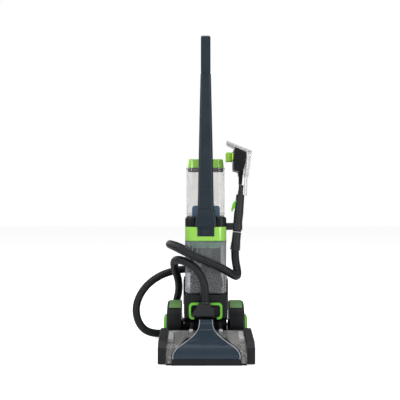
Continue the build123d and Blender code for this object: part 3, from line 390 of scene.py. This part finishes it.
def closed_tube(name, loop, radius, sides=10):
    """A round bead along a closed loop of points."""
    mesh = bmesh.new()
    up = Vector((0, 0, 1))
    rings = []
    for number, point in enumerate(loop):
        ahead = (loop[(number + 1) % len(loop)] - loop[number - 1]).normalized()
        side = ahead.cross(up).normalized()
        ring = []
        for k in range(sides):
            turn = 2 * math.pi * k / sides
            offset = side * radius * math.cos(turn) + up * radius * math.sin(turn)
            ring.append(mesh.verts.new(point + offset))
        rings.append(ring)
    stitch(mesh, rings + rings[:1])
    return from_bmesh(name, mesh)


def extruded(name, outline, low_x, high_x, bevel=0.001):
    """An outline in Y and Z, extruded across X, with rounded edges."""
    mesh = bmesh.new()
    left = [mesh.verts.new((low_x, y, z)) for y, z in outline]
    right = [mesh.verts.new((high_x, y, z)) for y, z in outline]
    mesh.faces.new(left)
    mesh.faces.new(list(reversed(right)))
    count = len(outline)
    for k in range(count):
        mesh.faces.new((left[k], right[k], right[(k + 1) % count], left[(k + 1) % count]))
    bmesh.ops.recalc_face_normals(mesh, faces=mesh.faces)
    bmesh.ops.bevel(mesh, geom=mesh.edges[:], offset=bevel, segments=2, affect="EDGES", profile=0.5)
    return from_bmesh(name, mesh)


# ---------------------------------------------------------------- window nozzle
# The middle of the duct in Y and Z, from the lip up and back to the neck.
nozzle_path = [(-0.0650, 0.0206), (-0.0645, 0.036), (-0.0590, 0.049), (-0.0440, 0.059), (-0.0100, 0.0700),
               (0.0250, 0.0800), (0.0500, 0.0905), (0.0640, 0.1020), (0.0685, 0.1118)]
nozzle_widths = [(0.020, 0.1085), (0.034, 0.1085), (0.045, 0.1030), (0.056, 0.0910), (0.068, 0.0670),
                 (0.0795, 0.0435), (0.090, 0.0310), (0.101, 0.0262), (0.112, 0.0255)]
nozzle_depths = [(0.020, 0.0066), (0.045, 0.0068), (0.070, 0.0075), (0.092, 0.0088), (0.112, 0.0082)]
nozzle_wall = 0.0022
nozzle_corner = 0.0055
highlight_bead_inset = 0.0040        # from the duct's side to the middle of its edge bead
highlight_bead_radius = 0.0009


def nozzle_stations(step):
    """Points along the middle of the duct, each with the direction out of its front."""
    line = even_steps(spline_points([(0, y, z) for y, z in nozzle_path]), step)
    stations = []
    for number, point in enumerate(line):
        ahead = (line[min(number + 1, len(line) - 1)] - line[max(number - 1, 0)]).normalized()
        stations.append((point, Vector((0, -ahead.z, ahead.y))))
    return stations


def window_nozzle():
    """A smooth clear duct that fans out from the neck to the lip, open at both ends."""
    mesh = bmesh.new()
    outer, inner = [], []
    for point, front in nozzle_stations(0.0025):
        half_depth = smooth_value(nozzle_depths, point.z)
        half_width = smooth_value(nozzle_widths, (point + front * half_depth).z)
        for rings, shrink in ((outer, 0), (inner, nozzle_wall)):
            ring = []
            corner = min(nozzle_corner, half_depth * 0.75) - shrink * 0.6
            for across, depth in rounded_ring(half_width - shrink, half_depth - shrink, corner, 5):
                ring.append(mesh.verts.new(point + Vector((across, 0, 0)) + front * depth))
            rings.append(ring)
    stitch(mesh, outer)
    stitch(mesh, inner)
    for end in (0, -1):
        stitch(mesh, [outer[end], inner[end]])
    return from_bmesh("smooth_window_nozzle", mesh)


nozzle = finished(window_nozzle(), "tinted_clear_plastic", "base")
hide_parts("window_nozzle")


def nozzle_line(name, height, half_width, lift, radius, slot):
    """A moulded bead across the front of the nozzle at one height of its path."""
    point, front = min(nozzle_stations(0.001), key=lambda station: abs(station[0].z - height))
    start = point + front * (smooth_value(nozzle_depths, point.z) + lift)
    ends = [start + Vector((half_width * share, 0, 0)) for share in (-1, -0.5, 0, 0.5, 1)]
    return finished(tube(name, even_steps(ends, 0.004), lambda number: radius, 8), slot, "base")


def nozzle_side_highlight(side, hand):
    """A pale bead down one side of the nozzle, from the neck to the lip: a painted highlight along that
    side edge.
    """
    bead = []
    for point, front in nozzle_stations(0.002):
        face = point + front * smooth_value(nozzle_depths, point.z)
        across = smooth_value(nozzle_widths, face.z) - highlight_bead_inset
        bead.append(face + Vector((side * across, 0, 0)))
    edge = tube(f"nozzle_side_highlight_{hand}", even_steps(bead, 0.002), lambda number: highlight_bead_radius, 8)
    return finished(edge, "pale_grey_plastic", "base")


# Pale beads down both sides of the nozzle paint the highlights along its side edges.
nozzle_side_highlight(-1, "left")
nozzle_side_highlight(1, "right")
# The neck bead is a real crease, made in the pale clear finish so that it paints the highlight line across
# the base of the neck.
nozzle_line("nozzle_neck_highlight_bead", 0.0815, 0.024, 0.0002, 0.0009, "clear_plastic")
nozzle_line("nozzle_step_bead", 0.0400, 0.104, 0.0001, 0.0008, "tinted_clear_plastic")

# ---------------------------------------------------------------- inside the floor head
# A dark hood covers the brush under the clear cover, with a pale block at each end of it. The hood stands
# for the brush's housing and is also a black sheet that paints the shade inside the head.
hood_outer = [(-0.0560, 0.0300), (-0.0520, 0.0420), (-0.0400, 0.0500), (0.0200, 0.0610), (0.0660, 0.0700)]
hood_inner = [(y, z - 0.003) for y, z in reversed(hood_outer)]
finished(extruded("brush_hood_and_painted_shade", hood_outer + hood_inner, -0.100, 0.108, 0.0006), "black_plastic", "base")
block_outline = [(0.004, 0.054), (0.004, 0.0655), (0.065, 0.0742), (0.065, 0.054)]
for side, hand in ((-1, "left"), (1, "right")):
    low, high = sorted((side * 0.1092, side * 0.1242))
    block = extruded(f"cover_block_{hand}", block_outline, low, high, 0.0012)
    finished(block, "pale_grey_plastic", "base")
    low, high = sorted((side * 0.044, side * 0.056))
    clip = bevelled_box(f"cover_clip_{hand}", (low, 0.052, 0.0745), (high, 0.068, 0.0825), 0.0015)
    finished(clip, "pale_grey_plastic", "base")
    rim = [Vector((side * x, y, z)) for x, y, z in ((0.1135, -0.0688, 0.010), (0.1135, -0.0688, 0.040),
                                                    (0.1125, -0.0605, 0.0535), (0.110, -0.045, 0.0618))]
    rib = tube(f"cover_corner_rib_{hand}", even_steps(spline_points(rim), 0.002), lambda number: 0.0014, 8)
    finished(rib, "clear_plastic", "base")

# ---------------------------------------------------------------- brush roll
# Core outline as X and radius, with the belt's pulley at the left and a stub at each end.
roll_profile = [(-0.140, 0), (-0.140, 0.0040), (-0.1205, 0.0040), (-0.1205, 0.0128), (-0.1085, 0.0128),
                (-0.1085, 0.0140), (-0.1075, 0.0150), (-0.104, 0.0150), (-0.103, 0.0120),
                (0.114, 0.0120), (0.115, 0.0150), (0.121, 0.0150), (0.122, 0.0140), (0.122, 0.0040),
                (0.140, 0.0040), (0.140, 0)]
brush_centre = Vector((0, -0.032, 0.0215))
tuft_rows = 4
tufts_per_row = 52
tuft_twist = 0.085              # turn of a row from one tuft to the next, in radians
strands_per_tuft = 5
tuft_start_x = -0.100
tuft_span_x = 0.210
root_radius = 0.0115
tip_radius = 0.0204


def turned_ring(mesh, centre, along, radius, sides):
    """A ring of vertices round an axis that runs along X through a centre."""
    ring = []
    for k in range(sides):
        turn = 2 * math.pi * k / sides
        ring.append(mesh.verts.new((centre.x + along, centre.y + radius * math.cos(turn),
                                    centre.z + radius * math.sin(turn))))
    return ring


def bristle(mesh, root, tip, radius):
    """One tapering bristle, as a closed three-sided spike."""
    along = (tip - root).normalized()
    side = along.orthogonal().normalized()
    other = along.cross(side)
    base, top = [], []
    for k in range(3):
        turn = 2 * math.pi * k / 3
        offset = side * math.cos(turn) + other * math.sin(turn)
        base.append(mesh.verts.new(root + offset * radius))
        top.append(mesh.verts.new(tip + offset * radius * 0.6))
    mesh.faces.new(base)
    mesh.faces.new(list(reversed(top)))
    stitch(mesh, [base, top])


def roll_core():
    """The roll's core with its end pulley and stubs."""
    mesh = bmesh.new()
    rings = [turned_ring(mesh, brush_centre, x, max(radius, 1e-4), 28) for x, radius in roll_profile]
    stitch(mesh, rings)
    mesh.faces.new(rings[0])
    mesh.faces.new(list(reversed(rings[-1])))
    return from_bmesh("brush_core", mesh)


def roll_tufts():
    """Four helical rows of bristle tufts."""
    random.seed(4)
    mesh = bmesh.new()
    for row in range(tuft_rows):
        for step in range(tufts_per_row):
            x = tuft_start_x + tuft_span_x * step / (tufts_per_row - 1)
            turn = 2 * math.pi * row / tuft_rows + step * tuft_twist
            for _ in range(strands_per_tuft):
                lean = turn + random.uniform(-0.10, 0.10)
                root = Vector((x + random.uniform(-0.0012, 0.0012),
                               brush_centre.y + root_radius * math.cos(turn),
                               brush_centre.z + root_radius * math.sin(turn)))
                tip = Vector((root.x + random.uniform(-0.0015, 0.0015),
                              brush_centre.y + tip_radius * math.cos(lean),
                              brush_centre.z + tip_radius * math.sin(lean)))
                bristle(mesh, root, tip, 0.00045)
    return from_bmesh("brush_tufts", mesh)


brush_core = roll_core()
brush_tufts = roll_tufts()
finished(brush_core, "brush_plastic", "brush")
finished(brush_tufts, "lime_bristle", "brush")
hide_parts("brush_roll")

# ---------------------------------------------------------------- hand tool's spinning discs
# Outline of a disc as the distance from its face along X, and radius. Its rim has eight shallow lobes.
disc_profile = [(0.0135, 0.0039), (-0.0008, 0.0039), (-0.0008, 0.0150), (-0.0014, 0.0160),
                (-0.0038, 0.0160), (-0.0044, 0.0152), (-0.0044, 0.0001)]
disc_middle = Vector((0.0957, 0.163, 0.668))
disc_pitch = 0.0336
disc_sides = 48
disc_lobes = 8
lobe_depth = 0.05
disc_shrink = 0.96              # keeps the lobes inside the disc's own room
tuft_rings = ((0.0, 1), (0.0062, 6), (0.0122, 12))      # radius and number of tufts
strands_per_disc_tuft = 12


def lobed_disc(name, centre):
    """A disc with its spindle, and lobes round its rim."""
    mesh = bmesh.new()
    rings = []
    for along, radius in disc_profile:
        ring = []
        for k in range(disc_sides):
            turn = 2 * math.pi * k / disc_sides
            swell = lobe_depth * math.cos(disc_lobes * turn) if radius > 0.015 else 0
            reach = radius * (1 + swell) * disc_shrink
            offset = Vector((along, reach * math.cos(turn), reach * math.sin(turn)))
            ring.append(mesh.verts.new(centre + offset))
        rings.append(ring)
    stitch(mesh, rings)
    mesh.faces.new(rings[0])
    mesh.faces.new(list(reversed(rings[-1])))
    return from_bmesh(name, mesh)


def disc_bristles(name, centre):
    """Bristle tufts on a disc's face, spreading a little towards their tips."""
    mesh = bmesh.new()
    for ring_radius, tufts in tuft_rings:
        for tuft in range(tufts):
            turn = 2 * math.pi * tuft / tufts
            for _ in range(strands_per_disc_tuft):
                spot_y = ring_radius * math.cos(turn) + random.uniform(-0.0014, 0.0014)
                spot_z = ring_radius * math.sin(turn) + random.uniform(-0.0014, 0.0014)
                root = centre + Vector((-0.0040, spot_y, spot_z))
                tip_x = -0.0240 + random.uniform(0, 0.0015)
                tip = centre + Vector((tip_x, spot_y * 1.16, spot_z * 1.16))
                bristle(mesh, root, tip, 0.0004)
    return from_bmesh(name, mesh)


for index in (1, 2, 3):
    random.seed(18 + index)
    centre = disc_middle + Vector((0, (index - 2) * disc_pitch, 0))
    disc = finished(lobed_disc(f"brush_disc_{index}", centre), "lime_bristle", f"disc_{index}")
    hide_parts(f"tool_disc_{index}")
    finished(disc_bristles(f"disc_bristles_{index}", centre), "lime_bristle", f"disc_{index}")

# ---------------------------------------------------------------- tyres' tread
axle = Vector((0, 0.222, 0.065))
tyre_middle_x = 0.112
row_offset = 0.0085
blocks_per_row = 44
block_half_width = 0.0065
block_half_turn = 0.036         # half of a block's length round the tyre, in radians
block_skew = 0.02
block_radii = (0.0638, 0.0649)  # inner and outer
block_corners = [(across, along, level) for level in (0, 1)
                 for across, along in ((-1, -1), (1, -1), (1, 1), (-1, 1))]
block_faces = ((0, 1, 2, 3), (7, 6, 5, 4), (0, 4, 5, 1), (1, 5, 6, 2), (2, 6, 7, 3), (3, 7, 4, 0))


def tread_block(mesh, middle_x, turn, skew):
    """One raised block of the tread."""
    corners = []
    for across, along, level in block_corners:
        angle = turn + along * block_half_turn + across * skew
        reach = block_radii[level]
        corners.append(mesh.verts.new((middle_x + across * block_half_width,
                                       axle.y + reach * math.cos(angle),
                                       axle.z + reach * math.sin(angle))))
    for face in block_faces:
        mesh.faces.new([corners[k] for k in face])


for side, hand in ((-1, "left"), (1, "right")):
    mesh = bmesh.new()
    for number in range(blocks_per_row):
        turn = 2 * math.pi * number / blocks_per_row
        for row in (-1, 1):
            tread_block(mesh, side * tyre_middle_x + row * row_offset, turn, -row * block_skew)
    finished(from_bmesh(f"tyre_tread_{hand}", mesh, smooth=False), "dark_rubber", f"{hand}_wheel")

# ---------------------------------------------------------------- tanks' beads and marks


def bead_round(name, half_x, y_range, z, corner, radius, slot, body):
    """A moulded bead round a tank."""
    middle = (y_range[0] + y_range[1]) / 2
    half_y = (y_range[1] - y_range[0]) / 2
    loop = [Vector((x, middle + y, z)) for x, y in rounded_ring(half_x, half_y, corner)]
    finished(closed_tube(name, loop, radius), slot, body)


clean_y = (0.1658, 0.2622)
for name, z, radius in (("clean_tank_rim", 0.6305, 0.0013), ("clean_tank_foot_bead", 0.4665, 0.0010)):
    bead_round(name, 0.0682, clean_y, z, 0.026, radius, "clear_plastic", "water_tank")
bead_round("dirty_tank_rim", 0.0720, (0.110, 0.244), 0.3725, 0.030, 0.0012, "smoke_clear_plastic",
           "upright")
bead_round("lid_lower_bead", 0.0719, (0.1081, 0.2449), 0.3772, 0.031, 0.0011, "lime_plastic", "upright")
for number in range(4):
    height = 0.230 + number * 0.030
    tick = bevelled_box(f"level_tick_{number + 1}", (-0.058, 0.1093, height),
                        (-0.046, 0.1102, height + 0.0010), 0.0003)
    finished(tick, "pale_grey_plastic", "upright")

# ---------------------------------------------------------------- stem's seams and panel


def stem_front(height):
    """Y of the stem's front face at a height."""
    return 0.105 + (height - 0.430) * 0.067


def stem_seam(name, across_up, radius=0.0007, slot="black_plastic"):
    """A seam on the stem's front face, through points across and up."""
    line = even_steps(spline_points([(x, stem_front(z) + 0.0001, z) for x, z in across_up]), 0.002)
    finished(tube(name, line, lambda number: radius, 8), slot, "upright")


stem_seam("stem_smile_seam", [(-0.0250, 0.571), (-0.0200, 0.5655), (-0.0080, 0.5615), (0.0080, 0.5615),
                              (0.0200, 0.5655), (0.0250, 0.571)])
stem_seam("stem_foot_seam", [(-0.0262, 0.478), (-0.0245, 0.4862), (-0.0120, 0.4868), (0.0120, 0.4868),
                             (0.0245, 0.4862), (0.0262, 0.478)])
stem_seam("stem_badge_ridge", [(-0.0075, 0.5150), (-0.0020, 0.5155), (0.0020, 0.5155), (0.0075, 0.5150)],
          0.0011, "navy_plastic")
stem_seam("handle_joint_seam", [(-0.0150, 0.9602), (-0.0050, 0.9602), (0.0050, 0.9602), (0.0150, 0.9602)])

# ---------------------------------------------------------------- vents and grip
for side, hand in ((-1, "left"), (1, "right")):
    for number in range(7):
        height = 0.122 + number * 0.0082
        low, high = sorted((side * 0.0746, side * 0.0768))
        vent = bevelled_box(f"vent_rib_{hand}_{number + 1}", (low, 0.126, height),
                            (high, 0.205, height + 0.0042), 0.0009)
        finished(vent, "dark_grey_plastic", "upright")
for number in range(11):
    share = number / 10
    y, z = 0.206 + share * 0.064, 1.0985 - share * 0.0425
    rib = bevelled_box(f"grip_rib_{number + 1}", (-0.0125, y - 0.0012, z - 0.0010),
                       (0.0125, y + 0.0012, z + 0.0006), 0.0005)
    finished(rib, "dark_rubber", "upright")

# ---------------------------------------------------------------- floor
floor_mesh = bpy.data.meshes.new("floor")
floor_mesh.from_pydata([(-6, -6, 0), (6, -6, 0), (6, 9, 0), (-6, 9, 0)], [], [(0, 1, 2, 3)])
floor = link("floor", floor_mesh)
floor_material, floor_shader = new_material("pale_floor", {
    "Base Color": (0.92, 0.92, 0.92, 1), "Roughness": 0.7, "Emission Color": (1, 1, 1, 1)})
floor.data.materials.append(floor_material)
# The floor is lifted to white where it is seen, without throwing more light at the machine.
floor_tree = floor_material.node_tree
floor_path = floor_tree.nodes.new("ShaderNodeLightPath")
floor_lift = floor_tree.nodes.new("ShaderNodeMath")
floor_lift.operation = "MULTIPLY"
floor_lift.inputs[1].default_value = 0.62
floor_tree.links.new(floor_path.outputs["Is Camera Ray"], floor_lift.inputs[0])
floor_tree.links.new(floor_lift.outputs["Value"], floor_shader.inputs["Emission Strength"])
